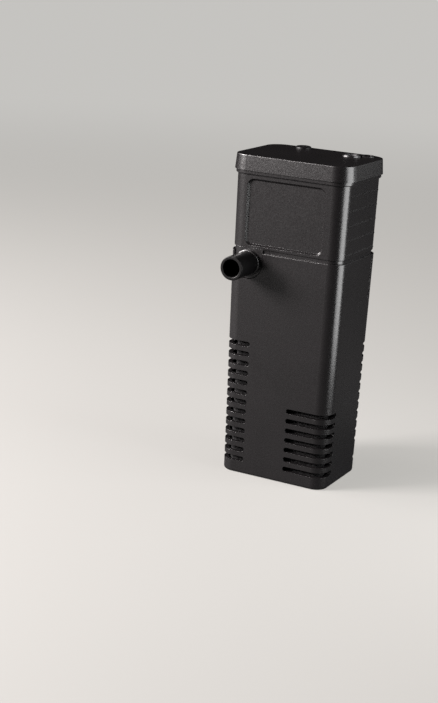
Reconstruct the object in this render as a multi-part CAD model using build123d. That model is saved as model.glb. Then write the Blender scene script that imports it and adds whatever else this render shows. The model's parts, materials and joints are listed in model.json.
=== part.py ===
"""Internal aquarium power filter, in millimetres.

The canister stands on its base with +Z up. The outlet nozzle points along -Y, the suction cups
are on the +Y side, and the origin is the centre of the canister's base face.
"""
from build123d import *
import math
import os

# ---- driving dimensions: outer casing --------------------------------------------------------
total_height = 130.0
canister_height = 92.1
canister_base = (46.1, 34.6, 5.4)      # width, depth and corner radius at the base
canister_rim = (48.5, 36.8, 5.6)       # the same at the rim
canister_wall = 1.6
canister_floor = 1.8
base_edge_radius = 1.0
rim_edge_radius = 0.15
head_edge_radius = 0.3
collar_edge_radius = 0.5
lid_edge_radius = 0.3

seam_gap = 1.4                         # visible groove between canister rim and head
head_foot = (47.6, 35.9, 5.4)          # plan of the head just above the groove
head_crown = (48.1, 36.3, 5.6)         # plan of the head just under its collar
head_cavity = (44.4, 32.6, 3.7)
head_floor_thickness = 2.0
collar_plan = (49.7, 37.8, 6.5)
collar_height = 1.6
lid_foot = (51.0, 38.8, 7.2)
lid_crown = (50.0, 37.9, 6.8)
lid_height = 6.0
lid_plate = 1.5
lid_skirt = 1.7

# ---- driving dimensions: details of the casing -----------------------------------------------
panel_centre_x = -0.8
panel_centre_z = 107.75
panel_floor = (31.9, 24.8, 2.1)        # width, height and corner radius of the front recess
panel_depth = 0.8
panel_wall_run = 1.3                   # the sloping wall's run towards the front
panel_wall_flare = 1.1                 # how far the wall spreads over that run
rib_count = 5
rib_first_z = 94.9
rib_pitch = 5.7
rib_half_run = 13.2
rib_height = 1.3
rib_crest = 0.25                       # height of the rib's flat edge
rib_proud = 0.3
latch_pad_y = (0.2, 12.4)
latch_pad_z = (74.0, 91.6)
latch_pad_depth = 0.15
latch_pad_corner = 1.5

slot_first_z = 6.2
slot_pitch = 4.04
slot_height = 2.0
slot_rows_tall = 13
slot_rows_short = 7
slot_inner_x = 12.3                    # where the tall groups end on the front and back
slot_inner_x_short = 5.3               # where the short groups end on the front and back
slot_inner_y = 9.5                     # where the front groups end on the flanks
slot_inner_y_rear = 12.0

# ---- driving dimensions: outlet --------------------------------------------------------------
outlet_x = -15.4
outlet_z = 87.7
outlet_bore_r = 3.55
nozzle_r = 4.75
nozzle_tip_y = -32.0
boss_r = 5.25
boss_face_y = -19.3
socket_r = 4.40
nozzle_spigot_r = 4.35                 # 0.05 running clearance in the socket
nozzle_lip = (0.3, 0.2)                # rounding outside and inside the tip
outlet_channel_r = 3.3
socket_end_y = -12.4
boss_edge = 0.4
tongue_r = 6.2                         # saddle round the boss
notch_r = 6.5                          # notch in the canister wall

# ---- driving dimensions: pump ----------------------------------------------------------------
chamber_r = 11.5
chamber_wall = 1.4
pump_x = outlet_x + chamber_r - outlet_bore_r
chamber_foot_z = 81.8
shaft_r = 1.0
bush_clearance = 0.05
well_r = 6.6
well_wall = 1.2
well_top_z = 114.0
magnet_r = 5.9
magnet_span_z = (94.4, 112.4)
core_span_z = (98.0, 110.0)
core_leg_y = (8.1, 11.9)
core_yoke_x = (13.5, 17.5)
coil_span_x = (0.3, 13.0)
winding_depth = 2.2
bobbin_wall = 0.8
bobbin_flange = 1.0
resin_top_z = 119.5

# ---- driving dimensions: rotor, impeller and cover -------------------------------------------
shaft_span_z = (81.2, 113.4)
bush_r = (2.0, 3.0)                    # lower and upper rubber bush
bush_foot_z = 80.4
bush_head_z = 112.9
sleeve_r = 1.9
sleeve_flange_z = 93.1
dog_ring = (4.3, 2.7)                  # outer and inner radius of the rotor's drive dog
dog_span_z = (90.8, 93.3)
wheel_r = 9.4
wheel_disc_z = (88.8, 90.0)
wheel_hub_r = 2.5
wheel_cup = (5.6, 4.6)
wheel_cup_top_z = 92.8
blade_count = 5
blade_foot_z = 84.6
blade_width = 1.0
cover_span_z = (80.2, 83.4)
cover_flange_z = 81.7
cover_eye_r = 4.9
cover_hub_r = 2.9
cover_collar = (6.8, 5.6)
cover_collar_foot_z = 76.0
lug_r = 14.2
hook_ring = (15.6, 14.6, 13.3)         # outside, inside and toe radius of a bayonet hook
hook_span_z = (78.5, 86.0)
hook_starts = (50, 230)                # degrees
hook_sweep = 22

# ---- driving dimensions: inlet side ----------------------------------------------------------
strainer_r = 5.5
strainer_wall = 1.0
strainer_foot_z = 22.0
strainer_top_z = 80.1
window_rows = 9
window_first_z = 26.0
window_pitch = 5.4
window_size = (3.2, 3.0)               # width and height of a strainer window
sponge_plan = (41.4, 29.8, 3.2)
sponge_span_z = (2.3, 70.0)
sponge_hole_r = 6.3

# ---- driving dimensions: top details and suction cups ----------------------------------------
knob_x, knob_y = -10.0, 14.9
knob_r = 3.2
knob_proud = 0.9
knob_dome = 0.7                        # rounding of the knob's top edge
knob_slot = (3.2, 0.6, 0.6)            # finger slot: length, width and depth
knob_spindle_r = 1.5
knob_seat_clearance = 0.15
knob_spindle_foot_z = 124.4
needle_tip_r, needle_root_r = 0.45, 1.0
needle_length = 2.4
air_tube_r = 1.25
air_tube_top_z = 122.0
air_bore_r = 0.8
gland_x, gland_y = 13.2, 10.0
gland_rim_r = 3.8
gland_seat_r = 3.0
gland_bore_r = 2.0
plug_x, plug_y = 18.0, 14.2
plug_rim_r = 3.2
plug_seat_r = 2.2
plug_dish_r = 6.0
rim_proud = 0.6
rim_taper = 0.3                        # how much narrower a rim is at its top
cup_levels_z = (24.0, 72.0)
cup_r = 13.0
cup_neck_r = 3.0
cup_socket_clearance = 0.06
cup_boss_r = 5.5
cup_boss_proud = 1.0

# ---- levels worked out from the driving dimensions -------------------------------------------
head_foot_z = canister_height + seam_gap
lid_top_z = total_height
lid_foot_z = lid_top_z - lid_height
collar_foot_z = lid_foot_z - collar_height
floor_low_z = canister_height - 0.3
floor_high_z = floor_low_z + head_floor_thickness
spigot_foot_z = 84.0
spigot_outer = (44.6, 33.0, 3.7)
spigot_inner = (41.8, 30.2, 2.4)
over = 1.0                             # how far a cutter runs past the face it opens


# ---- helpers ---------------------------------------------------------------------------------
def prism(plan, z_low, z_high):
    """Upright block on a rounded-rectangle plan (width, depth, corner radius)."""
    return extrude(Pos(0, 0, z_low) * RectangleRounded(*plan), z_high - z_low)


def drafted(low_plan, high_plan, z_low, z_high):
    """Block whose rounded-rectangle plan changes evenly from z_low to z_high."""
    low = Pos(0, 0, z_low) * RectangleRounded(*low_plan)
    high = Pos(0, 0, z_high) * RectangleRounded(*high_plan)
    return loft([low, high], ruled=True)


def disc(radius, z_low, z_high, x=0.0, y=0.0):
    """Upright cylinder."""
    return extrude(Pos(x, y, z_low) * Circle(radius), z_high - z_low)


def ring(outer_r, inner_r, z_low, z_high, x=0.0, y=0.0):
    """Upright tube."""
    return extrude(Pos(x, y, z_low) * (Circle(outer_r) - Circle(inner_r)), z_high - z_low)


def rod_y(radius, x, z, y_low, y_high):
    """Cylinder along Y."""
    return Pos(x, (y_low + y_high) / 2, z) * Rot(90, 0, 0) * Cylinder(radius, y_high - y_low)


def block(x_span, y_span, z_span):
    """Box between two limits on each axis."""
    spans = (x_span, y_span, z_span)
    centre = [(low + high) / 2 for low, high in spans]
    return Pos(*centre) * Box(*[high - low for low, high in spans])


def sector(outer_r, inner_r, start, stop, z_low, z_high):
    """Part of an upright tube at the pump axis, from start to stop degrees."""
    reach = 3 * outer_r
    corners = [(0, 0)]
    for angle in (start, (start + stop) / 2, stop):
        corners.append((reach * math.cos(math.radians(angle)), reach * math.sin(math.radians(angle))))
    wedge = make_face(Polyline(*corners, close=True))
    plan = (Circle(outer_r) - Circle(inner_r)) & wedge
    return extrude(Pos(pump_x, 0, z_low) * plan, z_high - z_low)


def slot_block(length, height, thickness):
    """Bar along X with half-round ends, thickness along Y, centred on the origin."""
    return Rot(90, 0, 0) * extrude(SlotOverall(length, height), thickness / 2, both=True)


def canister_half_depth(z):
    """Distance from the middle plane to the canister's back face at a height."""
    share = z / canister_height
    return (canister_base[1] + share * (canister_rim[1] - canister_base[1])) / 2


def inset(plan, amount):
    """Rounded-rectangle plan moved inwards by a wall thickness."""
    return (plan[0] - 2 * amount, plan[1] - 2 * amount, max(plan[2] - amount, 0.8))


# ---- canister --------------------------------------------------------------------------------
def corner_slots(side_x, side_y, inner_x, inner_y, rows):
    """Cutters for one stack of slots that wraps a corner of the canister."""
    reach = 30.0
    through = 8.0
    cutters = []
    for row in range(rows):
        z = slot_first_z + row * slot_pitch
        face = Pos(side_x * (inner_x + reach) / 2, side_y * 17.5, z)
        flank = Pos(side_x * 23.4, side_y * (inner_y + reach) / 2, z) * Rot(0, 0, 90)
        cutters.append(face * slot_block(reach - inner_x, slot_height, through))
        cutters.append(flank * slot_block(reach - inner_y, slot_height, through))
    return cutters


def notch_cutter():
    """U-shaped opening in the canister's front wall, round the outlet boss."""
    top = canister_height + over
    cutter = rod_y(notch_r, outlet_x, outlet_z, -25, -14)
    return cutter + block((outlet_x - notch_r, outlet_x + notch_r), (-25, -14), (outlet_z, top))


def latch_pad_cutter(side):
    """Shallow panel sunk into the flank, over the place where the head's latch snaps in."""
    half_width = canister_rim[0] / 2
    pad = block((half_width - latch_pad_depth, half_width + over), latch_pad_y, latch_pad_z)
    pad = fillet(pad.edges().filter_by(Axis.X), latch_pad_corner)
    tilt = math.degrees(math.atan((canister_rim[0] - canister_base[0]) / 2 / canister_height))
    hinge_at = Pos(half_width, 0, canister_height)
    pad = hinge_at * Rot(0, tilt, 0) * hinge_at.inverse() * pad
    return pad if side > 0 else mirror(pad, about=Plane.YZ)


def make_canister():
    """Drafted box, open at the top, with slotted corners and two suction cup sockets."""
    outer = drafted(canister_base, canister_rim, 0, canister_height)
    outer = fillet(outer.faces().sort_by(Axis.Z)[0].edges(), base_edge_radius)
    outer = fillet(outer.faces().sort_by(Axis.Z)[-1].outer_wire().edges(), rim_edge_radius)
    low = inset(canister_base, canister_wall)
    high = inset(canister_rim, canister_wall)
    growth = (high[0] - low[0]) / canister_height
    foot = (low[0] + growth * canister_floor, low[1] + growth * canister_floor, low[2])
    head_room = (high[0] + growth * over, high[1] + growth * over, high[2])
    shell = outer - drafted(foot, head_room, canister_floor, canister_height + over)
    for side in (-1, 1):
        shell -= latch_pad_cutter(side)
    for z in cup_levels_z:
        wall_y = canister_half_depth(z)
        shell += rod_y(cup_boss_r, 0, z, wall_y - canister_wall, wall_y + cup_boss_proud)
    for z in cup_levels_z:
        wall_y = canister_half_depth(z)
        shell -= rod_y(cup_neck_r + cup_socket_clearance, 0, z, wall_y - 4, wall_y + 4)
    shell -= notch_cutter()
    cutters = corner_slots(-1, -1, slot_inner_x, slot_inner_y, slot_rows_tall)
    cutters += corner_slots(1, -1, slot_inner_x_short, slot_inner_y, slot_rows_short)
    cutters += corner_slots(1, 1, slot_inner_x, slot_inner_y_rear, slot_rows_tall)
    cutters += corner_slots(-1, 1, slot_inner_x_short, slot_inner_y_rear, slot_rows_short)
    return shell - cutters


# ---- head ------------------------------------------------------------------------------------
def side_rib(side, z):
    """Grip rib on the head's flank: flat underside, long sloping top."""
    share = (z - head_foot_z) / (collar_foot_z - head_foot_z)
    flank = (head_foot[0] + share * (head_crown[0] - head_foot[0])) / 2
    root = flank - 0.6
    crest = flank + rib_proud
    profile = Polyline((root, z), (crest, z), (crest, z + rib_crest), (root, z + rib_height), close=True)
    rib = extrude(Plane.XZ * make_face(profile), rib_half_run, both=True)
    return rib if side > 0 else mirror(rib, about=Plane.YZ)


def make_tongue():
    """Saddle of the head's front wall that fills the canister's notch round the outlet boss."""
    shell = prism(head_foot, outlet_z - tongue_r - over, head_foot_z + over)
    shell -= prism(spigot_outer, outlet_z - tongue_r - 2 * over, head_foot_z + 2 * over)
    depth = (-25, -14.3)
    shape = rod_y(tongue_r, outlet_x, outlet_z, *depth)
    shape += block((outlet_x - tongue_r, outlet_x + tongue_r), depth, (outlet_z, head_foot_z + 0.2))
    return shell & shape


def make_hooks():
    """Two bayonet hooks under the pump chamber, which hold the impeller cover."""
    hooks = []
    outer, inner, toe = hook_ring
    foot, top = hook_span_z
    for start in hook_starts:
        stop = start + hook_sweep
        hooks.append(sector(outer, chamber_r + 0.6, start, stop, top - 3.6, top))
        hooks.append(sector(outer, inner, start, stop, foot, top - 3.0))
        hooks.append(sector(outer, toe, start, stop, foot, foot + 1.3))
    return hooks


def make_boss():
    """Round boss of the outlet, with a softened rim, reaching back to the pump chamber."""
    boss = rod_y(boss_r, outlet_x, outlet_z, boss_face_y, -3.0)
    boss = fillet(boss.faces().sort_by(Axis.Y)[0].edges(), boss_edge)
    return boss & block((-40, 40), (-40, 0), (outlet_z - 2 * boss_r, floor_high_z))


def panel_cutter():
    """Front recess of the head: a flat floor with walls that slope outwards."""
    width, height, corner = panel_floor
    wide_open = (width + 2 * panel_wall_flare, height + 2 * panel_wall_flare, corner + panel_wall_flare)
    low = RectangleRounded(*panel_floor)
    high = Pos(0, 0, panel_wall_run) * RectangleRounded(*wide_open)
    place = Pos(panel_centre_x, -head_foot[1] / 2 + panel_depth, panel_centre_z) * Rot(90, 0, 0)
    return place * loft([low, high], ruled=True)


def make_head_housing():
    """Motor case with collar, rotor well, pump chamber, outlet boss, saddle and spigot."""
    outer = drafted(head_foot, head_crown, head_foot_z, collar_foot_z)
    outer = fillet(outer.faces().sort_by(Axis.Z)[0].edges(), head_edge_radius)
    for row in range(rib_count):
        for side in (-1, 1):
            outer += side_rib(side, rib_first_z + row * rib_pitch)
    collar = prism(collar_plan, collar_foot_z, lid_foot_z)
    collar = fillet(collar.faces().sort_by(Axis.Z)[0].edges(), collar_edge_radius)
    body = outer + collar - prism(head_cavity, floor_high_z, lid_foot_z + over)
    body += prism(inset(head_foot, 0.5), canister_height, head_foot_z + 0.2)
    body += prism(spigot_outer, spigot_foot_z, canister_height + 0.2)
    body -= prism(spigot_inner, spigot_foot_z - over, floor_low_z)
    body += make_tongue()
    body += ring(chamber_r + chamber_wall, chamber_r, chamber_foot_z, floor_low_z + 0.2, pump_x)
    body += make_hooks()
    body += disc(well_r + well_wall, floor_low_z, well_top_z + 1.4, pump_x)
    body += make_boss()
    body += block((knob_x - 2.4, knob_x + 2.4), (11.8, 16.3), (spigot_foot_z, floor_low_z + 0.2))
    body -= disc(chamber_r, chamber_foot_z - over, floor_low_z, pump_x)
    body -= disc(well_r, floor_low_z - over, 113.0, pump_x)
    body -= disc(3.05, 112.0, well_top_z, pump_x)
    body -= rod_y(outlet_channel_r, outlet_x, outlet_z, boss_face_y - over, 0)
    body -= rod_y(socket_r, outlet_x, outlet_z, boss_face_y - over, socket_end_y)
    body -= disc(air_bore_r, outlet_z - air_bore_r, floor_high_z + over, knob_x, knob_y)
    body -= rod_y(air_bore_r, knob_x, outlet_z, 6.0, knob_y)
    return body - panel_cutter()


def tapered_rim(radius, proud, x, y):
    """Round rim on the lid with a sloping outside, still solid in the middle."""
    slope = Cone(radius, radius - rim_taper, proud)
    return Pos(x, y, lid_top_z + proud / 2) * slope + disc(radius, lid_top_z - over, lid_top_z, x, y)


def make_lid():
    """Cap of the head: flared skirt, locating lip and the round rims near its back edge."""
    lid = drafted(lid_foot, lid_crown, lid_foot_z, lid_top_z)
    lid = fillet(lid.faces().sort_by(Axis.Z)[-1].edges(), lid_edge_radius)
    lid += tapered_rim(plug_rim_r, rim_proud - 0.2, plug_x, plug_y)
    lid += tapered_rim(gland_rim_r, rim_proud, gland_x, gland_y)
    lip = (head_cavity[0] - 0.3, head_cavity[1] - 0.3, head_cavity[2] - 0.1)
    hollow = inset(lip, 1.3)
    skirt = inset(lid_foot, lid_skirt)
    gutter = prism(skirt, lid_foot_z - over, lid_top_z - lid_plate - 1.0)
    gutter -= prism(lip, lid_foot_z - 2 * over, lid_top_z)
    lid += prism(lip, lid_foot_z - 2.4, lid_foot_z + 0.2)
    lid -= gutter & prism(lid_foot, lid_foot_z, lid_top_z)
    lid -= prism(hollow, lid_foot_z - 4, lid_top_z - lid_plate)
    lid -= disc(gland_seat_r, lid_top_z - 0.4, lid_top_z + 2, gland_x, gland_y)
    lid -= disc(gland_seat_r - 0.5, lid_foot_z - 4, lid_top_z + 2, gland_x, gland_y)
    lid -= disc(plug_seat_r, lid_top_z - 0.4, lid_top_z + 2, plug_x, plug_y)
    lid -= disc(plug_seat_r - 0.7, lid_foot_z - 4, lid_top_z + 2, plug_x, plug_y)
    lid -= disc(knob_r + knob_seat_clearance, lid_top_z - 0.6, lid_top_z + 2, knob_x, knob_y)
    lid -= disc(knob_spindle_r + bush_clearance, lid_foot_z - 4, lid_top_z + 2, knob_x, knob_y)
    return lid


def make_air_knob():
    """Air control knob: grip disc with a finger bar, spindle and needle."""
    top = lid_top_z + knob_proud
    knob = disc(knob_r, lid_top_z - 0.5, top, knob_x, knob_y)
    knob = fillet(knob.faces().sort_by(Axis.Z)[-1].edges(), knob_dome)
    length, width, depth = knob_slot
    knob -= Pos(knob_x, knob_y, top) * Box(length, width, 2 * depth)
    knob += disc(knob_spindle_r, knob_spindle_foot_z, lid_top_z, knob_x, knob_y)
    needle = Cone(needle_tip_r, needle_root_r, needle_length)
    return knob + Pos(knob_x, knob_y, knob_spindle_foot_z - needle_length / 2 + 0.2) * needle


def make_air_tube():
    """Straight air tube from the valve seat under the knob down to the floor of the motor case."""
    return ring(air_tube_r, air_bore_r, floor_high_z, air_tube_top_z, knob_x, knob_y)


def make_cable_gland():
    """Rubber gland for the supply lead, with its bore open."""
    gland = disc(gland_seat_r - 0.05, lid_top_z - 0.4, lid_top_z + 0.5, gland_x, gland_y)
    gland = fillet(gland.faces().sort_by(Axis.Z)[-1].edges(), 0.3)
    gland += disc(gland_seat_r - 0.55, lid_foot_z + 0.3, lid_top_z, gland_x, gland_y)
    return gland - disc(gland_bore_r, lid_foot_z - 4, lid_top_z + 2, gland_x, gland_y)


def make_fill_plug():
    """Plug that closes the resin filling hole, with a dished top."""
    plug = disc(plug_seat_r - 0.05, lid_top_z - 0.4, lid_top_z + 0.4, plug_x, plug_y)
    plug += disc(plug_seat_r - 0.7 - 0.05, lid_foot_z + 1.0, lid_top_z, plug_x, plug_y)
    dish_z = lid_top_z + plug_dish_r - 0.1
    return plug - Pos(plug_x, plug_y, dish_z) * Sphere(plug_dish_r)


# ---- motor -----------------------------------------------------------------------------------
def make_stator_core():
    """U-shaped laminated core: two legs, a yoke, and pole shoes round the rotor well."""
    low_z, high_z = core_span_z
    gap_r = well_r + well_wall + 0.3
    core = block(core_yoke_x, (-core_leg_y[1], core_leg_y[1]), core_span_z)
    for side in (-1, 1):
        leg_y = sorted(side * y for y in core_leg_y)
        shoe_y = sorted((side * 4.6, side * core_leg_y[1]))
        core += block((pump_x - 6.5, core_yoke_x[1]), leg_y, core_span_z)
        core += block((pump_x - 6.5, pump_x + 6.7), shoe_y, core_span_z)
    return core - disc(gap_r, low_z - over, high_z + over, pump_x)


def coil_shape(depth, x_span, side):
    """Block round a core leg, standing off by depth on all four sides, without the leg's hole."""
    inner, outer = core_leg_y
    y_span = sorted((side * (inner - depth), side * (outer + depth)))
    return block(x_span, y_span, (core_span_z[0] - depth, core_span_z[1] + depth))


def make_bobbin(side):
    """Coil former on a core leg: a square tube with a flange at each end."""
    start, stop = coil_span_x
    flange_depth = bobbin_wall + winding_depth + 0.2
    bobbin = coil_shape(bobbin_wall, coil_span_x, side)
    bobbin += coil_shape(flange_depth, (start, start + bobbin_flange), side)
    bobbin += coil_shape(flange_depth, (stop - bobbin_flange, stop), side)
    return bobbin - coil_shape(0.0, (start - over, stop + over), side)


def make_winding(side):
    """Copper coil between the bobbin's flanges, as one block round the core leg."""
    start, stop = coil_span_x
    x_span = (start + bobbin_flange, stop - bobbin_flange)
    winding = coil_shape(bobbin_wall + winding_depth, x_span, side)
    return winding - coil_shape(bobbin_wall, (x_span[0] - over, x_span[1] + over), side)


def make_terminal_pins():
    """Two terminal pins on each bobbin's outer flange."""
    pins = []
    flange_top = core_span_z[1] + bobbin_wall + winding_depth + 0.2
    for side in (-1, 1):
        for y in (8.6, 11.4):
            pins.append(disc(0.4, flange_top, 121.0, coil_span_x[1] - 0.5, side * y))
    return Compound(children=pins)


def make_resin(embedded):
    """Potting resin round the stator, filling the motor case up to its level."""
    resin = prism(head_cavity, floor_high_z, resin_top_z)
    resin -= disc(well_r + well_wall, floor_high_z - over, well_top_z + 1.4, pump_x)
    for piece in embedded:
        resin -= piece
    resin -= disc(air_tube_r, floor_high_z - over, resin_top_z + over, knob_x, knob_y)
    return resin


# ---- rotor, impeller and bearings ------------------------------------------------------------
def make_shaft():
    """Fixed ceramic shaft between the two bushes."""
    return disc(shaft_r, *shaft_span_z, pump_x)


def make_upper_bush():
    """Rubber bush in the closed end of the rotor well."""
    bush = disc(bush_r[1], bush_head_z, well_top_z, pump_x)
    return bush - disc(shaft_r, bush_head_z - over, shaft_span_z[1], pump_x)


def make_lower_bush():
    """Rubber bush in the hub of the impeller cover, loose on the shaft so the cover can turn."""
    bush = disc(bush_r[0], bush_foot_z, bush_foot_z + 3.6, pump_x)
    return bush - disc(shaft_r + bush_clearance, shaft_span_z[0], bush_foot_z + 3.6 + over, pump_x)


def make_rotor_sleeve():
    """Plastic core of the rotor with its end flange and the drive dog."""
    bore_r = shaft_r + bush_clearance
    sleeve = ring(sleeve_r, bore_r, *magnet_span_z, pump_x)
    sleeve += ring(magnet_r, bore_r, sleeve_flange_z, magnet_span_z[0], pump_x)
    return sleeve + sector(*dog_ring, -30, 30, *dog_span_z)


def make_rotor_magnet():
    """Ferrite ring magnet."""
    return ring(magnet_r, sleeve_r, *magnet_span_z, pump_x)


def make_impeller():
    """Straight-bladed impeller with a cup above it, where the rotor's dog meets the stop."""
    bore_r = shaft_r + bush_clearance
    disc_foot, disc_top = wheel_disc_z
    wheel = ring(wheel_r, bore_r, disc_foot, disc_top, pump_x)
    wheel += ring(wheel_hub_r, bore_r, blade_foot_z - 0.2, disc_foot, pump_x)
    wheel += ring(*wheel_cup, disc_foot, wheel_cup_top_z, pump_x)
    wheel += sector(wheel_cup[1] + 0.2, dog_ring[1], 150, 210, disc_foot, wheel_cup_top_z)
    half = blade_width / 2
    for index in range(blade_count):
        blade = block((wheel_hub_r - 0.5, wheel_r), (-half, half), (blade_foot_z, disc_foot + 0.2))
        wheel += Pos(pump_x, 0, 0) * Rot(0, 0, index * 360 / blade_count) * blade
    return wheel


def make_impeller_cover():
    """Twist-lock cover of the pump chamber with the intake eye and the hub for the bush."""
    foot, top = cover_span_z
    cover = disc(chamber_r - 0.1, foot, top, pump_x)
    cover += disc(chamber_r + chamber_wall, foot, cover_flange_z, pump_x)
    for start in hook_starts:
        cover += sector(lug_r, chamber_r, start + 2, start + 20, foot, cover_flange_z)
    cover += ring(*cover_collar, cover_collar_foot_z, foot + 0.2, pump_x)
    cover -= disc(cover_eye_r, foot - 1.2, top + 0.6, pump_x)
    cover += disc(cover_hub_r, foot, top, pump_x)
    for index in range(3):
        arm = block((cover_hub_r - 0.5, cover_eye_r + 0.4), (-0.6, 0.6), (foot, foot + 2.0))
        cover += Pos(pump_x, 0, 0) * Rot(0, 0, 30 + index * 120) * arm
    return cover - disc(bush_r[0], bush_foot_z, top + 0.6, pump_x)


def make_strainer():
    """Slotted intake tube that stands in the sponge and plugs into the impeller cover."""
    tube = ring(strainer_r, strainer_r - strainer_wall, strainer_foot_z, strainer_top_z, pump_x)
    width, height = window_size
    windows = []
    for row in range(window_rows):
        foot = window_first_z + row * window_pitch
        for turn in (0, 90):
            window = block((-8, 8), (-width / 2, width / 2), (foot, foot + height))
            windows.append(Pos(pump_x, 0, 0) * Rot(0, 0, turn) * window)
    return tube - windows


def make_sponge():
    """Filter sponge: block with a round hole for the strainer."""
    low_z, high_z = sponge_span_z
    return prism(sponge_plan, low_z, high_z) - disc(sponge_hole_r, low_z - over, high_z + over, pump_x)


# ---- outlet nozzle and suction cups ----------------------------------------------------------
def make_nozzle():
    """Straight push-in outlet tube."""
    tube = rod_y(nozzle_r, outlet_x, outlet_z, nozzle_tip_y, boss_face_y)
    tube = fillet(tube.faces().sort_by(Axis.Y)[0].edges(), nozzle_lip[0])
    tube += rod_y(nozzle_spigot_r, outlet_x, outlet_z, boss_face_y - 0.5, socket_end_y - 0.1)
    tube -= rod_y(outlet_bore_r, outlet_x, outlet_z, nozzle_tip_y - over, socket_end_y + over)
    return fillet(tube.faces().sort_by(Axis.Y)[0].inner_wires()[0].edges(), nozzle_lip[1])


def make_suction_cup(z):
    """Suction cup turned about Y: plug, neck flange, and the thin dished skirt."""
    root = canister_half_depth(z) + cup_boss_proud
    profile = [
        (0, root - 3.4), (cup_neck_r - 0.3, root - 3.4), (cup_neck_r, root - 3.0), (cup_neck_r, root + 0.1),
        (5.0, root + 0.1), (5.2, root + 2.2), (8.6, root + 4.0), (cup_r, root + 7.6), (cup_r, root + 8.2),
        (11.6, root + 8.2), (7.6, root + 5.4), (0, root + 4.4),
    ]
    half = make_face(Polyline(*[(r, y) for r, y in profile], close=True))
    return Pos(0, 0, z) * revolve(half, axis=Axis.Y)


# ---- all nodes -------------------------------------------------------------------------------
def make_parts():
    """Every node of the filter by name."""
    parts = {
        "canister": make_canister(),
        "head_housing": make_head_housing(),
        "top_lid": make_lid(),
        "air_knob": make_air_knob(),
        "air_tube": make_air_tube(),
        "cable_gland": make_cable_gland(),
        "resin_fill_plug": make_fill_plug(),
        "stator_core": make_stator_core(),
        "front_bobbin": make_bobbin(-1),
        "rear_bobbin": make_bobbin(1),
        "front_winding": make_winding(-1),
        "rear_winding": make_winding(1),
        "terminal_pins": make_terminal_pins(),
        "rotor_shaft": make_shaft(),
        "upper_bush": make_upper_bush(),
        "lower_bush": make_lower_bush(),
        "rotor_sleeve": make_rotor_sleeve(),
        "rotor_magnet": make_rotor_magnet(),
        "impeller": make_impeller(),
        "impeller_cover": make_impeller_cover(),
        "intake_strainer": make_strainer(),
        "filter_sponge": make_sponge(),
        "outlet_nozzle": make_nozzle(),
    }
    embedded = ("stator_core", "front_bobbin", "rear_bobbin", "front_winding", "rear_winding")
    pieces = [parts[name] for name in embedded] + list(parts["terminal_pins"].solids())
    parts["potting_resin"] = make_resin(pieces)
    for name, z in zip(("lower_suction_cup", "upper_suction_cup"), cup_levels_z):
        parts[name] = make_suction_cup(z)
    return parts


os.makedirs("parts", exist_ok=True)
for node, shape in make_parts().items():
    export_step(shape, f"parts/{node}.step")
    print(node, len(shape.solids()), round(shape.volume))
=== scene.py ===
"""Studio picture of an internal aquarium power filter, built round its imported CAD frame."""
import json
import math

import bmesh
import bpy
from mathutils import Matrix, Vector, noise


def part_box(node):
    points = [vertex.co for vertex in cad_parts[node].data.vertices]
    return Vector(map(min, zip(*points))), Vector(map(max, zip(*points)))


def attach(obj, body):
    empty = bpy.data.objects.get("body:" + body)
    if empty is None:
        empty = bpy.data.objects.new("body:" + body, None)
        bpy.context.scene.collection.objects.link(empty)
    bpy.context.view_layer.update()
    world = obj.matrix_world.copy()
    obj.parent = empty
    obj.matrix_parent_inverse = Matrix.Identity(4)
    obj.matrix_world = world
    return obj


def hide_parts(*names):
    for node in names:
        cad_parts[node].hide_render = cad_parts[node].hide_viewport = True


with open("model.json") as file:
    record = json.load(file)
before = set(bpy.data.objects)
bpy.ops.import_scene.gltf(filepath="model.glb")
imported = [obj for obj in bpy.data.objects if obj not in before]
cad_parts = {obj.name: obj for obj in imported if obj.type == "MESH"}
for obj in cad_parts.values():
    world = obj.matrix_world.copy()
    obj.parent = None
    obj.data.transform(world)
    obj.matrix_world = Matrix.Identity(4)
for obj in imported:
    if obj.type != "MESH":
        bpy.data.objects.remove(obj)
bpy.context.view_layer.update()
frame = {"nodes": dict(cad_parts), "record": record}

MM = 0.001
NODES = frame["nodes"]

# ---- stage ---------------------------------------------------------------------------------------
FLOOR_COLOUR = (0.085, 0.083, 0.080)    # the lit part of what the camera sees
FLOOR_GLOW = (0.40, 0.39, 0.37)         # the even part of what the camera sees
FLOOR_BOUNCE = (0.045, 0.045, 0.045)    # as the light sees it, so that the black casing keeps its depth
FLOOR_RADIUS = 6.0
FADE_START, FADE_END = 0.35, 1.3        # metres from the object
BACKDROP_COLOUR = (0.56, 0.55, 0.53)
STUDIO_COLOUR = (0.004, 0.004, 0.004)

# ---- lights --------------------------------------------------------------------------------------
WARM = (1.0, 0.95, 0.94)
WHITE = (1.0, 1.0, 1.0)
LIGHT_TARGET = (0, 0, 0.11)
KEY_DISTANCE, KEY_HEIGHT = 0.70, 0.38
KEY_SIZE = (0.25, 0.26)

# ---- camera: the product's viewing angle ---------------------------------------------------------
VIEW_AZIMUTH = 24.486          # degrees, from the front towards the right-hand flank
VIEW_ELEVATION = 14.216
VIEW_ROLL = -4.020
VIEW_DISTANCE = 619.3 * MM
VIEW_LENS = 78.80              # millimetres
SENSOR_WIDTH = 36.0            # millimetres
AIM_RIGHT = 2.974              # degrees by which the object stands right of and above the middle
AIM_UP = 1.319
OBJECT_HEIGHT = 130.0 * MM

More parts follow.
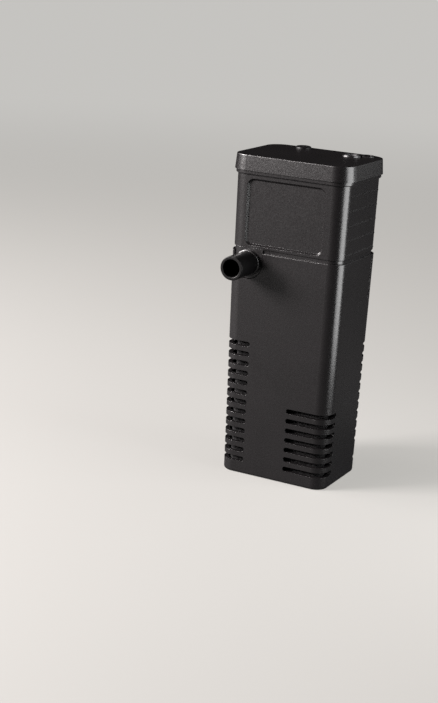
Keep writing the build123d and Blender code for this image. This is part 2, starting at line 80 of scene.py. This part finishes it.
# ---- finishes and soft pieces --------------------------------------------------------------------
CASING_COLOUR = (0.0032, 0.0028, 0.0030)
CASING_ROUGHNESS = 0.28
TRIM_COLOUR = (0.0018, 0.0017, 0.0018)
EDGE_SAMPLES = 4
DUST_COLOUR = (0.20, 0.19, 0.18)
DUST_SPACING = 5.0 * MM
DUST_SIZE = 0.10 * MM
PUMP_X = -7.45 * MM
SPONGE_CORNER = 3.2 * MM
SPONGE_HOLE = 6.3 * MM
FOAM_PORE = 1.5 * MM
FOAM_SKIN = 0.03 * MM          # least depth of the foam's surface under its envelope
FOAM_DEPTH = 0.70 * MM
FOAM_STRAND = 0.45             # width of the slope from strand to pore, as a share of a pore
FOAM_AROUND = 224              # mesh steps round the block
FOAM_LEVELS = 84               # mesh steps up its outside and its hole
FOAM_RINGS = 15                # mesh steps from the outside to the hole
FOAM_SECTION = (("outer", FOAM_LEVELS), ("top", FOAM_RINGS), ("hole", FOAM_LEVELS), ("foot", FOAM_RINGS))
CUP_TURNS = 72                 # mesh steps round a suction cup


def make_camera():
    """Perspective camera turned round the object's middle, rolled and aimed beside it."""
    azimuth, elevation = math.radians(VIEW_AZIMUTH), math.radians(VIEW_ELEVATION)
    back = Vector((math.sin(azimuth) * math.cos(elevation),
                   -math.cos(azimuth) * math.cos(elevation),
                   math.sin(elevation)))
    right = Vector((0, 0, 1)).cross(back).normalized()
    up = back.cross(right)
    level = Matrix((right, up, back))
    roll = Matrix.Rotation(math.radians(VIEW_ROLL), 3, "Z")
    aim = Vector((math.tan(math.radians(AIM_RIGHT)), math.tan(math.radians(AIM_UP)), -1))
    pan = Vector((0, 0, -1)).rotation_difference(aim).to_matrix()
    turn = (pan @ roll @ level).transposed()
    data = bpy.data.cameras.new("camera")
    data.lens = VIEW_LENS
    data.sensor_width = SENSOR_WIDTH
    camera = bpy.data.objects.new("camera", data)
    bpy.context.scene.collection.objects.link(camera)
    middle = Vector((0, 0, OBJECT_HEIGHT / 2))
    camera.matrix_world = Matrix.Translation(middle + back * VIEW_DISTANCE) @ turn.to_4x4()
    bpy.context.scene.camera = camera


# ---- node helpers --------------------------------------------------------------------------------
class Shader:
    """A material's node tree with short calls for the nodes used here."""

    def __init__(self, name):
        self.material = bpy.data.materials.new(name)
        self.material.use_nodes = True
        self.tree = self.material.node_tree
        self.surface = self.tree.nodes["Principled BSDF"]

    def node(self, kind, **values):
        """New node; values set its properties or, by name, its input sockets."""
        made = self.tree.nodes.new(kind)
        for key, value in values.items():
            if hasattr(made, key):
                setattr(made, key, value)
            else:
                made.inputs[key.replace("_", " ")].default_value = value
        return made

    def link(self, source, target):
        self.tree.links.new(source, target)

    def coordinates(self):
        return self.node("ShaderNodeTexCoord").outputs["Object"]

    def noise(self, scale, detail=2.0, roughness=0.5):
        made = self.node("ShaderNodeTexNoise", Scale=scale, Detail=detail, Roughness=roughness)
        self.link(self.coordinates(), made.inputs["Vector"])
        return made.outputs["Fac"]

    def ramp(self, source, stops):
        """Colour ramp from a list of (position, grey or colour)."""
        made = self.node("ShaderNodeValToRGB")
        elements = made.color_ramp.elements
        while len(elements) < len(stops):
            elements.new(0.5)
        for element, (position, value) in zip(elements, stops):
            element.position = position
            colour = (value, value, value) if isinstance(value, (int, float)) else value
            element.color = (*colour, 1.0)
        self.link(source, made.inputs["Fac"])
        return made.outputs["Color"]

    def bump(self, height, strength, distance, below=None):
        made = self.node("ShaderNodeBump", Strength=strength, Distance=distance)
        self.link(height, made.inputs["Height"])
        if below is not None:
            self.link(below, made.inputs["Normal"])
        return made.outputs["Normal"]


def edge_normal(s, radius):
    """Normals of slightly worn, rounded edges."""
    return s.node("ShaderNodeBevel", samples=EDGE_SAMPLES, Radius=radius).outputs["Normal"]


def dust(s, spacing, size, share):
    """Mask of a few tiny specks: one in each of a share of the cells."""
    cells = s.node("ShaderNodeTexVoronoi", Scale=1.0 / spacing)
    s.link(s.coordinates(), cells.inputs["Vector"])
    near = s.node("ShaderNodeMath", operation="LESS_THAN")
    near.inputs[1].default_value = size / spacing
    s.link(cells.outputs["Distance"], near.inputs[0])
    chosen = s.node("ShaderNodeMath", operation="LESS_THAN")
    chosen.inputs[1].default_value = share
    s.link(cells.outputs["Color"], chosen.inputs[0])
    both = s.node("ShaderNodeMath", operation="MULTIPLY")
    s.link(near.outputs["Value"], both.inputs[0])
    s.link(chosen.outputs["Value"], both.inputs[1])
    return both.outputs["Value"]


def plastic(name, colour, roughness, grain=1.0, edge=0.09 * MM, speck=0.0, shine=0.5):
    """Moulded plastic with a fine spark-eroded grain and slightly uneven gloss."""
    s = Shader(name)
    dark, light = [c * 0.85 for c in colour], [c * 1.15 for c in colour]
    tint = s.ramp(s.noise(60.0, 3.0), [(0.3, dark), (0.7, light)])
    if speck:
        mix = s.node("ShaderNodeMix", data_type="RGBA")
        mix.inputs["B"].default_value = (*DUST_COLOUR, 1)
        s.link(tint, mix.inputs["A"])
        s.link(dust(s, DUST_SPACING, DUST_SIZE, speck), mix.inputs["Factor"])
        tint = mix.outputs["Result"]
    s.link(tint, s.surface.inputs["Base Color"])
    s.surface.inputs["Specular IOR Level"].default_value = shine
    gloss = s.ramp(s.noise(1600.0, 3.0), [(0.3, roughness - 0.03), (0.7, roughness + 0.03)])
    s.link(gloss, s.surface.inputs["Roughness"])
    coarse = s.bump(s.noise(1100.0, 2.0, 0.6), 0.06 * grain, 0.2 * MM, edge_normal(s, edge))
    fine = s.bump(s.noise(2600.0, 2.0), 0.25 * grain, 0.1 * MM, coarse)
    s.link(fine, s.surface.inputs["Normal"])
    return s.material


def natural_plastic(name):
    """Unpigmented nylon: waxy off-white with a little light inside it."""
    s = Shader(name)
    tint = s.ramp(s.noise(180.0, 3.0), [(0.3, (0.50, 0.49, 0.44)), (0.7, (0.60, 0.59, 0.54))])
    s.link(tint, s.surface.inputs["Base Color"])
    s.surface.inputs["Subsurface Weight"].default_value = 0.25
    s.surface.inputs["Subsurface Radius"].default_value = (1.0, 0.9, 0.7)
    s.surface.inputs["Subsurface Scale"].default_value = 0.8 * MM
    s.surface.inputs["Roughness"].default_value = 0.38
    grain = s.bump(s.noise(1400.0, 3.0), 0.15, 0.1 * MM, edge_normal(s, 0.15 * MM))
    s.link(grain, s.surface.inputs["Normal"])
    return s.material


def rubber(name, colour, roughness, bloom):
    """Soft rubber with a powdery bloom in patches."""
    s = Shader(name)
    pale = [c + bloom for c in colour]
    s.link(s.ramp(s.noise(240.0, 5.0, 0.6), [(0.42, colour), (0.80, pale)]), s.surface.inputs["Base Color"])
    gloss = s.ramp(s.noise(320.0, 4.0), [(0.3, roughness - 0.05), (0.7, roughness + 0.08)])
    s.link(gloss, s.surface.inputs["Roughness"])
    skin = s.bump(s.noise(1500.0, 3.0), 0.16, 0.1 * MM, edge_normal(s, 0.2 * MM))
    s.link(skin, s.surface.inputs["Normal"])
    return s.material


def soft_vinyl(name):
    """Glossy, slightly translucent dark vinyl of the suction cups."""
    s = Shader(name)
    tint = s.ramp(s.noise(120.0, 3.0), [(0.3, (0.018, 0.018, 0.019)), (0.7, (0.030, 0.029, 0.031))])
    s.link(tint, s.surface.inputs["Base Color"])
    s.surface.inputs["Subsurface Weight"].default_value = 0.2
    s.surface.inputs["Subsurface Scale"].default_value = 1.0 * MM
    gloss = s.ramp(s.noise(260.0, 4.0), [(0.3, 0.16), (0.7, 0.26)])
    s.link(gloss, s.surface.inputs["Roughness"])
    s.link(s.bump(s.noise(420.0, 3.0), 0.05, 0.2 * MM), s.surface.inputs["Normal"])
    return s.material


def open_foam(name):
    """Open-cell foam: lighter strands, with painted shade darkening the pore floors between them."""
    s = Shader(name)
    cells = s.node("ShaderNodeTexVoronoi", feature="DISTANCE_TO_EDGE", Scale=1400.0)
    s.link(s.coordinates(), cells.inputs["Vector"])
    # the strand colour is the foam's own; the darker pore colour is painted shade in the pores
    strand, pore_shade = (0.0075, 0.0070, 0.0075), (0.0012, 0.0012, 0.0014)
    tint = s.ramp(cells.outputs["Distance"], [(0.05, strand), (0.22, pore_shade)])
    s.link(tint, s.surface.inputs["Base Color"])
    s.surface.inputs["Roughness"].default_value = 0.9
    s.surface.inputs["Specular IOR Level"].default_value = 0.12
    s.surface.inputs["Sheen Weight"].default_value = 0.03
    height = s.ramp(cells.outputs["Distance"], [(0.05, 1.0), (0.30, 0.0)])
    s.link(s.bump(height, 0.7, 0.4 * MM), s.surface.inputs["Normal"])
    return s.material


def banded(name, colours, roughness, metallic, axis, pitch, depth):
    """Stack of thin layers or turns at a pitch along one axis."""
    s = Shader(name)
    bands = s.node("ShaderNodeTexWave", bands_direction=axis, Distortion=0.25, Scale=math.pi / 10 / pitch)
    bands.inputs["Detail Scale"].default_value = 0.4
    s.link(s.coordinates(), bands.inputs["Vector"])
    tint = s.ramp(bands.outputs["Fac"], [(0.1, colours[0]), (0.6, colours[1])])
    s.link(tint, s.surface.inputs["Base Color"])
    s.surface.inputs["Metallic"].default_value = metallic
    worn = s.ramp(s.noise(400.0, 4.0), [(0.3, roughness - 0.06), (0.7, roughness + 0.08)])
    s.link(worn, s.surface.inputs["Roughness"])
    layers = s.bump(bands.outputs["Fac"], 0.8, depth, edge_normal(s, 0.1 * MM))
    s.link(layers, s.surface.inputs["Normal"])
    return s.material


def plain_metal(name, colour, roughness):
    """Bright metal with fine drawing marks along Z."""
    s = Shader(name)
    marks = s.node("ShaderNodeMapping")
    marks.inputs["Scale"].default_value = (1.0, 1.0, 0.05)
    s.link(s.coordinates(), marks.inputs["Vector"])
    grain = s.node("ShaderNodeTexNoise", Scale=2500.0, Detail=3.0)
    s.link(marks.outputs["Vector"], grain.inputs["Vector"])
    shade = s.ramp(grain.outputs["Fac"], [(0.3, [c * 0.8 for c in colour]), (0.7, colour)])
    s.link(shade, s.surface.inputs["Base Color"])
    s.surface.inputs["Metallic"].default_value = 1.0
    gloss = s.ramp(grain.outputs["Fac"], [(0.3, roughness), (0.7, roughness + 0.15)])
    s.link(gloss, s.surface.inputs["Roughness"])
    return s.material


def ground(name, colour, roughness, scale, strength):
    """Hard ground or cast surface with fine speckle."""
    s = Shader(name)
    dark, light = [c * 0.75 for c in colour], [c * 1.2 for c in colour]
    shade = s.ramp(s.noise(scale, 5.0, 0.65), [(0.35, dark), (0.65, light)])
    s.link(shade, s.surface.inputs["Base Color"])
    gloss = s.ramp(s.noise(scale * 0.6, 3.0), [(0.3, roughness - 0.05), (0.7, roughness + 0.08)])
    s.link(gloss, s.surface.inputs["Roughness"])
    grain = s.bump(s.noise(scale, 4.0), strength, 0.1 * MM, edge_normal(s, 0.15 * MM))
    s.link(grain, s.surface.inputs["Normal"])
    return s.material


def make_materials():
    """One finish for each material slot of the record."""
    trim = plastic("smooth_trim", TRIM_COLOUR, 0.42, grain=0.4, edge=0.06 * MM, shine=0.13)
    steel = banded("laminated_steel", [(0.10, 0.09, 0.09), (0.36, 0.36, 0.37)], 0.42, 0.9,
                   "Z", 0.5 * MM, 0.1 * MM)
    copper = banded("wound_copper", [(0.20, 0.05, 0.02), (0.62, 0.24, 0.09)], 0.30, 0.8,
                    "X", 0.3 * MM, 0.15 * MM)
    return {
        "casing_plastic": plastic("satin_casing", CASING_COLOUR, CASING_ROUGHNESS, speck=0.10),
        "trim_plastic": trim,
        "inner_plastic": natural_plastic("natural_nylon"),
        "soft_rubber": rubber("seal_rubber", (0.009, 0.009, 0.010), 0.58, 0.012),
        "cup_rubber": soft_vinyl("cup_vinyl"),
        "foam": open_foam("filter_foam"),
        "core_steel": steel,
        "coil_copper": copper,
        "pin_metal": plain_metal("tinned_pin", (0.66, 0.63, 0.56), 0.22),
        "shaft_ceramic": ground("ceramic", (0.78, 0.77, 0.73), 0.16, 900.0, 0.03),
        "magnet_ferrite": ground("ferrite", (0.045, 0.045, 0.05), 0.42, 1600.0, 0.20),
        "resin": ground("potting_resin", (0.010, 0.010, 0.012), 0.14, 70.0, 0.10),
    }


# ---- soft pieces ---------------------------------------------------------------------------------
def link_piece(name, mesh, material, body, slot_name, *nodes):
    """Puts a soft piece into the scene in place of its CAD nodes."""
    piece = bpy.data.objects.new(name, mesh)
    bpy.context.scene.collection.objects.link(piece)
    mesh.materials.append(material)
    mesh.polygons.foreach_set("use_smooth", [True] * len(mesh.polygons))
    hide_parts(*nodes)
    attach(piece, body)
    return piece


def rounded_outline(half_width, half_depth, corner, count):
    """Points at equal steps round a rounded rectangle, each with its outward normal."""
    straight_x, straight_y = 2 * (half_width - corner), 2 * (half_depth - corner)
    arc = math.pi / 2 * corner
    length = 2 * (straight_x + straight_y) + 4 * arc
    runs = []
    for quarter in range(4):
        turn = Matrix.Rotation(math.radians(90 * quarter), 2)
        reach, run = (half_width, straight_y) if quarter % 2 == 0 else (half_depth, straight_x)
        runs.append(("line", turn, reach, run))
        runs.append(("arc", turn, (reach - corner, run / 2), arc))
    points = []
    for step in range(count):
        along = length * step / count
        for kind, turn, data, run in runs:
            if along <= run:
                break
            along -= run
        if kind == "line":
            spot, normal = Vector((data, along - run / 2)), Vector((1, 0))
        else:
            angle = along / corner
            normal = Vector((math.cos(angle), math.sin(angle)))
            spot = Vector(data) + corner * normal
        points.append((turn @ spot, turn @ normal))
    return points


def pore_depth(place):
    """How far the foam's surface lies under its envelope: deep in the pores, shallow on the strands."""
    near, far = noise.voronoi(place / FOAM_PORE)[0][:2]
    strand = min(1.0, max(0.0, (far - near) / FOAM_STRAND))
    uneven = 0.5 + 0.5 * noise.noise(place / (6 * FOAM_PORE))
    return FOAM_SKIN + FOAM_DEPTH * strand * (0.55 + 0.45 * uneven)


def foam_place(kind, share, spot, normal, low, high):
    """A point on the block's envelope, and the direction from it into the foam."""
    ray = Vector((spot.x - PUMP_X, spot.y)).normalized()
    hole_spot = Vector((PUMP_X, 0)) + ray * SPONGE_HOLE
    rise = share * (high[2] - low[2])
    if kind == "outer":
        return Vector((spot.x, spot.y, low[2] + rise)), Vector((-normal.x, -normal.y, 0))
    if kind == "top":
        flat = spot.lerp(hole_spot, share)
        return Vector((flat.x, flat.y, high[2])), Vector((0, 0, -1))
    if kind == "hole":
        return Vector((hole_spot.x, hole_spot.y, high[2] - rise)), Vector((ray.x, ray.y, 0))
    flat = hole_spot.lerp(spot, share)
    return Vector((flat.x, flat.y, low[2])), Vector((0, 0, 1))


def make_foam_sponge(material):
    """Foam block with a round hole, modelled as one closed surface with real pores."""
    low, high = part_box("filter_sponge")
    half_width, half_depth = (high[0] - low[0]) / 2, (high[1] - low[1]) / 2
    outline = rounded_outline(half_width, half_depth, SPONGE_CORNER, FOAM_AROUND)
    section = []
    for kind, steps in FOAM_SECTION:
        section += [(kind, step / steps) for step in range(steps)]
    vertices = []
    for kind, share in section:
        for spot, normal in outline:
            place, sink = foam_place(kind, share, spot, normal, low, high)
            vertices.append(place + sink * pore_depth(place))
    faces = []
    for loop in range(len(section)):
        here = loop * FOAM_AROUND
        after = (loop + 1) % len(section) * FOAM_AROUND
        for i in range(FOAM_AROUND):
            j = (i + 1) % FOAM_AROUND
            faces.append((here + i, here + j, after + j, after + i))
    mesh = bpy.data.meshes.new("foam_sponge")
    mesh.from_pydata(vertices, [], faces)
    mesh.validate()
    sponge = link_piece("foam_sponge", mesh, material, "sponge", "foam", "filter_sponge")


# half section of a suction cup, from its plug round the rim and back to the axis: radius and depth in mm
CUP_PROFILE = [
    (0.0, 0.0), (1.7, 0.0), (2.5, 0.12), (2.9, 0.5), (2.94, 1.1), (2.7, 1.7), (2.7, 3.2), (2.95, 3.5),
    (4.6, 3.55), (5.1, 3.9), (5.2, 4.6), (5.2, 5.2), (5.8, 5.95), (7.2, 6.75), (9.0, 7.55), (10.8, 8.75),
    (12.2, 10.1), (12.95, 11.2), (12.98, 11.5), (12.7, 11.58), (12.2, 11.35), (11.0, 10.55), (9.0, 9.2),
    (7.0, 8.25), (5.0, 7.65), (2.5, 7.3), (0.0, 7.2),
]


def make_suction_cup(name, body, material):
    """Soft cup turned about Y: plug in the canister's socket, shoulder, and a thin dished skirt."""
    low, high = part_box(name)
    axis_z = (low[2] + high[2]) / 2
    shape = bmesh.new()
    loops = []
    for radius, depth in CUP_PROFILE:
        y = low[1] + depth * MM
        if radius == 0.0:
            loops.append([shape.verts.new((0, y, axis_z))] * CUP_TURNS)
            continue
        ring = []
        for step in range(CUP_TURNS):
            angle = 2 * math.pi * step / CUP_TURNS
            across, rise = radius * MM * math.cos(angle), radius * MM * math.sin(angle)
            ring.append(shape.verts.new((across, y, axis_z + rise)))
        loops.append(ring)
    for near, far in zip(loops, loops[1:]):
        for i in range(CUP_TURNS):
            j = (i + 1) % CUP_TURNS
            corners = [near[i], near[j], far[j], far[i]]
            shape.faces.new(list(dict.fromkeys(corners)))
    bmesh.ops.recalc_face_normals(shape, faces=shape.faces)
    mesh = bpy.data.meshes.new("soft_" + name)
    shape.to_mesh(mesh)
    shape.free()
    link_piece("soft_" + name, mesh, material, body, "cup_rubber", name)


# ---- stage and light -----------------------------------------------------------------------------
def area_light(name, location, size, power, colour=WHITE):
    """Rectangular soft light that points at the object."""
    data = bpy.data.lights.new(name, "AREA")
    data.shape = "RECTANGLE"
    data.size, data.size_y = size
    data.energy = power
    data.color = colour
    lamp = bpy.data.objects.new(name, data)
    bpy.context.scene.collection.objects.link(lamp)
    lamp.location = location
    lamp.rotation_mode = "QUATERNION"
    lamp.rotation_quaternion = (Vector(LIGHT_TARGET) - Vector(location)).to_track_quat("-Z", "Y")


def make_floor():
    """Pale floor; far from the object it fades into the backdrop's own colour."""
    mesh = bpy.data.meshes.new("floor")
    shape = bmesh.new()
    bmesh.ops.create_circle(shape, cap_ends=True, radius=FLOOR_RADIUS, segments=96)
    shape.to_mesh(mesh)
    shape.free()
    floor = bpy.data.objects.new("floor", mesh)
    bpy.context.scene.collection.objects.link(floor)
    s = Shader("floor")
    s.surface.inputs["Roughness"].default_value = 0.85
    s.surface.inputs["Specular IOR Level"].default_value = 0.2
    path = s.node("ShaderNodeLightPath")
    seen = s.node("ShaderNodeMix", data_type="RGBA")
    seen.inputs["A"].default_value = (*FLOOR_BOUNCE, 1)
    seen.inputs["B"].default_value = (*FLOOR_COLOUR, 1)
    s.link(path.outputs["Is Camera Ray"], seen.inputs["Factor"])
    s.link(seen.outputs["Result"], s.surface.inputs["Base Color"])
    distance = s.node("ShaderNodeVectorMath", operation="LENGTH")
    s.link(s.coordinates(), distance.inputs[0])
    fade = s.node("ShaderNodeMapRange", interpolation_type="SMOOTHSTEP")
    fade.inputs["From Min"].default_value = FADE_START
    fade.inputs["From Max"].default_value = FADE_END
    s.link(distance.outputs["Value"], fade.inputs["Value"])
    share = s.node("ShaderNodeMath", operation="MULTIPLY")
    s.link(fade.outputs["Result"], share.inputs[0])
    s.link(path.outputs["Is Camera Ray"], share.inputs[1])
    even = s.node("ShaderNodeMix", data_type="RGBA")
    even.inputs["A"].default_value = (0, 0, 0, 1)
    even.inputs["B"].default_value = (*FLOOR_GLOW, 1)
    s.link(path.outputs["Is Camera Ray"], even.inputs["Factor"])
    s.link(even.outputs["Result"], s.surface.inputs["Emission Color"])
    s.surface.inputs["Emission Strength"].default_value = 1.0
    glow = s.node("ShaderNodeEmission")
    glow.inputs["Color"].default_value = (*BACKDROP_COLOUR, 1)
    mix = s.node("ShaderNodeMixShader")
    s.link(share.outputs["Value"], mix.inputs["Fac"])
    s.link(s.surface.outputs["BSDF"], mix.inputs[1])
    s.link(glow.outputs["Emission"], mix.inputs[2])
    output = next(n for n in s.tree.nodes if n.type == "OUTPUT_MATERIAL")
    s.link(mix.outputs["Shader"], output.inputs["Surface"])
    mesh.materials.append(s.material)


def make_world():
    """Pale backdrop for the camera, and a dim studio for everything else."""
    world = bpy.data.worlds.new("studio")
    bpy.context.scene.world = world
    world.use_nodes = True
    nodes, links = world.node_tree.nodes, world.node_tree.links
    path = nodes.new("ShaderNodeLightPath")
    mix = nodes.new("ShaderNodeMix")
    mix.data_type = "RGBA"
    mix.inputs["A"].default_value = (*STUDIO_COLOUR, 1)
    mix.inputs["B"].default_value = (*BACKDROP_COLOUR, 1)
    links.new(path.outputs["Is Camera Ray"], mix.inputs["Factor"])
    links.new(mix.outputs["Result"], nodes["Background"].inputs["Color"])


def round_the_object(azimuth, distance, height):
    """Point at an azimuth in degrees, from the front towards the right-hand flank."""
    angle = math.radians(azimuth)
    return (distance * math.sin(angle), -distance * math.cos(angle), height)


def make_lights():
    """Soft box at the front left with three weaker ones beside it, strip at the right, weak light behind."""
    for name, azimuth, power in (("key", -50, 29.5), ("key_right", -35, 3.8), ("key_left", -65, 2.8)):
        area_light(name, round_the_object(azimuth, KEY_DISTANCE, KEY_HEIGHT), KEY_SIZE, power, WARM)
    area_light("left", round_the_object(-80, KEY_DISTANCE, KEY_HEIGHT), (0.25, 0.36), 4.6, WARM)
    area_light("strip", round_the_object(92, 0.17, 0.14), (0.13, 0.28), 0.96)
    area_light("back_right", round_the_object(140, 0.60, 0.35), (0.30, 0.60), 0.7)


# ---- scene ---------------------------------------------------------------------------------------
bpy.context.scene.view_settings.view_transform = "Standard"
make_camera()
make_world()
make_floor()
make_lights()

materials = make_materials()
for subpart in frame["record"]["subparts"]:
    node = NODES[subpart["node"]]
    node.data.materials.clear()
    node.data.materials.append(materials[subpart["material_slot"]])
make_foam_sponge(materials["foam"])
make_suction_cup("lower_suction_cup", "lower_cup", materials["cup_rubber"])
make_suction_cup("upper_suction_cup", "upper_cup", materials["cup_rubber"])
